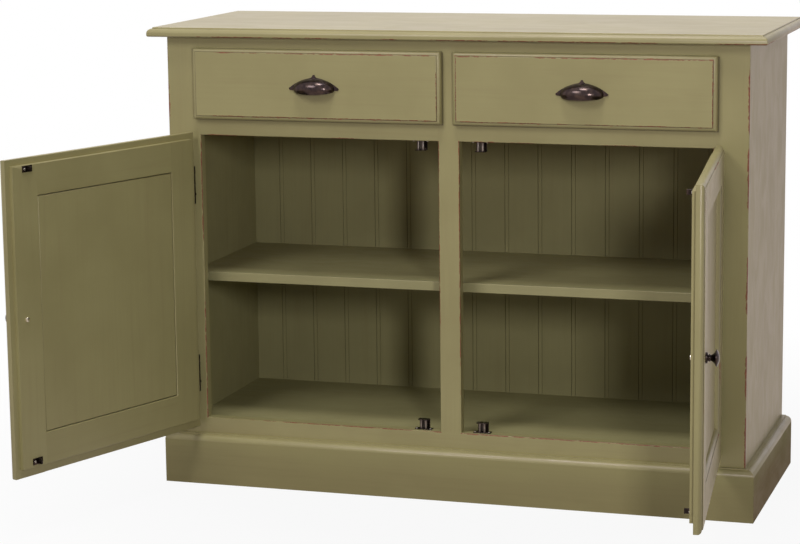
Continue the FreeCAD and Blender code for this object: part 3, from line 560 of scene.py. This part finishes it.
STRAIGHT = 0.99999
FACING = 0.7
ROUND_SEGMENTS = 2
ROUND_PROFILE = 0.5
RAY = Vector((0.31, 0.52, 0.795)).normalized()
FRAMED = ("stile", "rail", "low_rail", "door_stile", "door_rail")


def welded(node):
    """A solid's mesh, with its triangles joined into flat faces."""
    mesh = bmesh.new()
    mesh.from_mesh(nodes[node].data)
    bmesh.ops.remove_doubles(mesh, verts=mesh.verts, dist=WELD)
    bmesh.ops.dissolve_limit(mesh, angle_limit=COPLANAR, verts=mesh.verts, edges=mesh.edges)
    return mesh


meshes = {node: welded(node) for node in nodes}
trees = {node: BVHTree.FromBMesh(mesh) for node, mesh in meshes.items()}
boxes = {node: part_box(node) for node in nodes}


def inside(node, point):
    """A ray from a point inside a solid crosses its surface an odd number of times."""
    low, high = boxes[node]
    if any(point[i] < low[i] or point[i] > high[i] for i in AXES):
        return False
    hits = 0
    start = point.copy()
    while True:
        place, _, _, _ = trees[node].ray_cast(start, RAY)
        if place is None:
            return hits % 2 == 1
        hits += 1
        start = place + RAY * RAY_STEP


def mates_of(node):
    """The other nodes of the same body."""
    return [name for name in nodes if name != node and body_of_node[name] == body_of_node[node]]


def exposed(node, edge):
    """A sharp outer edge with no other piece of the body against it."""
    if len(edge.link_faces) != 2 or edge.calc_face_angle_signed(0) < SHARP:
        return False
    first, second = (face.normal for face in edge.link_faces)
    middle = (edge.verts[0].co + edge.verts[1].co) / 2
    probes = (middle + (first - second) * PROBE, middle + (second - first) * PROBE)
    mates = mates_of(node)
    return not any(inside(name, probe) for probe in probes for name in mates)


def curved(face):
    """A narrow face that meets another at a shallow angle is part of a curved surface."""
    if 2 * face.calc_area() > NARROW * face.calc_perimeter():
        return False
    return any(len(edge.link_faces) == 2 and FLAT < edge.calc_face_angle(0) < SMOOTH
               for edge in face.edges)


def divide_at_joints(node):
    """Divides a frame piece's long edges where a joint starts or ends.

    Each length is then rounded or left alone by itself."""
    mesh = meshes[node]
    mates = [boxes[name] for name in mates_of(node) if finish_of(name) in FRAMED]
    for axis in (X, Z):
        across = [i for i in AXES if i != axis]
        for edge in list(mesh.edges):
            start, end = sorted(edge.verts, key=lambda vert: vert.co[axis])
            if (end.co - start.co)[axis] < edge.calc_length() * STRAIGHT:
                continue
            places = {place[axis] for low, high in mates for place in (low, high)
                      if start.co[axis] + TOUCH < place[axis] < end.co[axis] - TOUCH
                      and all(low[i] - TOUCH < start.co[i] < high[i] + TOUCH for i in across)}
            for place in sorted(places):
                share = (place - start.co[axis]) / (end.co[axis] - start.co[axis])
                start = bmesh.utils.edge_split(edge, start, share)[1]


def soft_copy(node):
    """A copy of a solid with its exposed edges rounded."""
    mesh = meshes[node]
    if finish_of(node) in FRAMED:
        divide_at_joints(node)
    mesh.normal_update()
    edges = [edge for edge in mesh.edges if exposed(node, edge)]
    bmesh.ops.bevel(mesh, geom=edges, offset=ROUNDING[subparts[node]], offset_type="OFFSET",
                    segments=ROUND_SEGMENTS, profile=ROUND_PROFILE, affect="EDGES",
                    clamp_overlap=True)
    bmesh.ops.dissolve_degenerate(mesh, edges=mesh.edges, dist=DEGENERATE)
    mesh.normal_update()
    for edge in mesh.edges:
        edge.smooth = edge.calc_face_angle(0) < SMOOTH
    for face in mesh.faces:
        face.smooth = curved(face)
    data = bpy.data.meshes.new(node + "_soft")
    mesh.to_mesh(data)
    return add_object(node + "_soft", data)


def door_turn(side):
    """From the shut door to the door as it stands at rest."""
    joint = joints[side + "_door_hinge"]
    pivot = Matrix.Translation(Vector(joint["pos_m"]))
    shut = math.radians(joint["range_deg"][1])
    return pivot @ Matrix.Rotation(-shut, 4, Vector(joint["axis"])) @ pivot.inverted()


def on_moulding(polygon):
    return polygon.center.z > PLINTH_FLAT


def faces_in(polygon):
    return abs(polygon.normal.x) > FACING and polygon.normal.x * polygon.center.x < 0


# Finishes with another finish on some faces
second_finish = {
    "plinth_front": ("plinth_front_moulding", on_moulding),
    "plinth_side": ("plinth_side_moulding", on_moulding),
    "side": ("side_inner", faces_in),
}


def dress(node):
    """Puts a softened copy with its finish in the place of a solid.

    A door's finish is laid out on the shut door."""
    piece = soft_copy(node)
    body = body_of_node[node]
    if body.endswith("_door"):
        turn = door_turn(body.split("_")[0])
        piece.data.transform(turn.inverted())
        piece.matrix_world = turn
    finish = finish_of(node)
    piece.data.materials.append(finishes[finish])
    if finish in second_finish:
        second, chosen = second_finish[finish]
        piece.data.materials.append(finishes[second])
        for polygon in piece.data.polygons:
            polygon.material_index = int(chosen(polygon))
    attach(piece, body)
    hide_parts(node)


for name in nodes:
    dress(name)


# Floor, light and background, in metres and watts

WHITE = (1, 1, 1, 1)
REFLECTED_FLOOR = (1.0, 0.86, 0.79, 1.0)
REFLECTED_STUDIO = (1.0, 0.93, 0.97, 1.0)
FLOOR_HALF = 30.0
FLOOR_GREY = 0.25
FLOOR_ROUGHNESS = 0.9
FLOOR_WHITE_NEAR = 0.92
FADE_START = 0.5
FADE_END = 1.6
AMBIENT = 0.14
AMBIENT_COLOUR = (1, 0.99, 0.97, 1)

FRONT = (0, -0.2, 0.5)
REAR = (0, 0.2, 0.5)
TOP = (0, 0, 0.9)

# Each light's place, target, width and height, power, and whether it shows in reflections
LIGHTS = {
    "key": ((1.46, -3.0, 1.33), FRONT, (0.28, 0.5), 31, True),
    "fill": ((-1.39, -3.19, 3.26), FRONT, (1.4, 1.4), 62, True),
    "high": ((0, -1.39, 4.63), FRONT, (0.9, 0.9), 64, True),
    "above": ((0.2, 0.4, 3.4), TOP, (1.5, 1.5), 17, True),
    "back": ((-1.6, 4.2, 2.4), REAR, (1.8, 1.8), 95, False),
    "left": ((-4.4, 0.6, 2.2), REAR, (1.8, 1.8), 45, False),
}


def share_seen(graph):
    """One for rays that show the background: camera, glossy and transmission rays."""
    path = graph.tree.nodes.new("ShaderNodeLightPath")
    total = path.outputs["Is Camera Ray"]
    for ray in ("Is Glossy Ray", "Is Transmission Ray"):
        total = graph.math("MAXIMUM", total, path.outputs[ray])
    return total


def studio_white(graph, reflected):
    """White as seen by the camera, and the given tone as seen in a reflection."""
    return graph.mix(graph.add("LightPath", out="Is Glossy Ray"), WHITE, reflected)


def make_floor():
    """A floor that takes the shadow, and fades to white away from the cabinet."""
    corners = [(-FLOOR_HALF, -FLOOR_HALF, 0), (FLOOR_HALF, -FLOOR_HALF, 0),
               (FLOOR_HALF, FLOOR_HALF, 0), (-FLOOR_HALF, FLOOR_HALF, 0)]
    data = bpy.data.meshes.new("floor")
    data.from_pydata(corners, [], [(0, 1, 2, 3)])
    floor = add_object("floor", data)
    f = Finish("floor_white")
    f.surface((FLOOR_GREY, FLOOR_GREY, FLOOR_GREY, 1), FLOOR_ROUGHNESS)
    away = f.add("VectorMath", f.coords(), operation="LENGTH", out="Value")
    fade = f.add("MapRange", away, FADE_START, FADE_END, FLOOR_WHITE_NEAR)
    share = f.math("MULTIPLY", share_seen(f), fade)
    glow = f.add("Emission", studio_white(f, REFLECTED_FLOOR))
    blend = f.add("MixShader", share, f.shader.outputs[0], glow)
    f.put(f.tree.nodes["Material Output"].inputs["Surface"], blend)
    data.materials.append(f.material)


def make_world():
    """A white background, and a dim even light from all around."""
    world = bpy.data.worlds.new("studio")
    bpy.context.scene.world = world
    world.use_nodes = True
    graph = Graph(world.node_tree)
    ambient = graph.tree.nodes["Background"]
    graph.put(ambient.inputs["Color"], AMBIENT_COLOUR)
    graph.put(ambient.inputs["Strength"], AMBIENT)
    white = graph.add("Background", studio_white(graph, REFLECTED_STUDIO))
    blend = graph.add("MixShader", share_seen(graph), ambient.outputs[0], white)
    graph.put(graph.tree.nodes["World Output"].inputs["Surface"], blend)


def make_light(name, place, target, size, power, glossy):
    data = bpy.data.lights.new(name, "AREA")
    data.shape = "RECTANGLE"
    data.size, data.size_y = size
    data.energy = power
    lamp = add_object(name, data)
    lamp.location = place
    lamp.rotation_euler = (Vector(target) - Vector(place)).to_track_quat("-Z", "Y").to_euler()
    lamp.visible_glossy = glossy


make_camera()
make_floor()
make_world()
for name, row in LIGHTS.items():
    make_light(name, *row)

bpy.context.scene.view_settings.view_transform = "Standard"
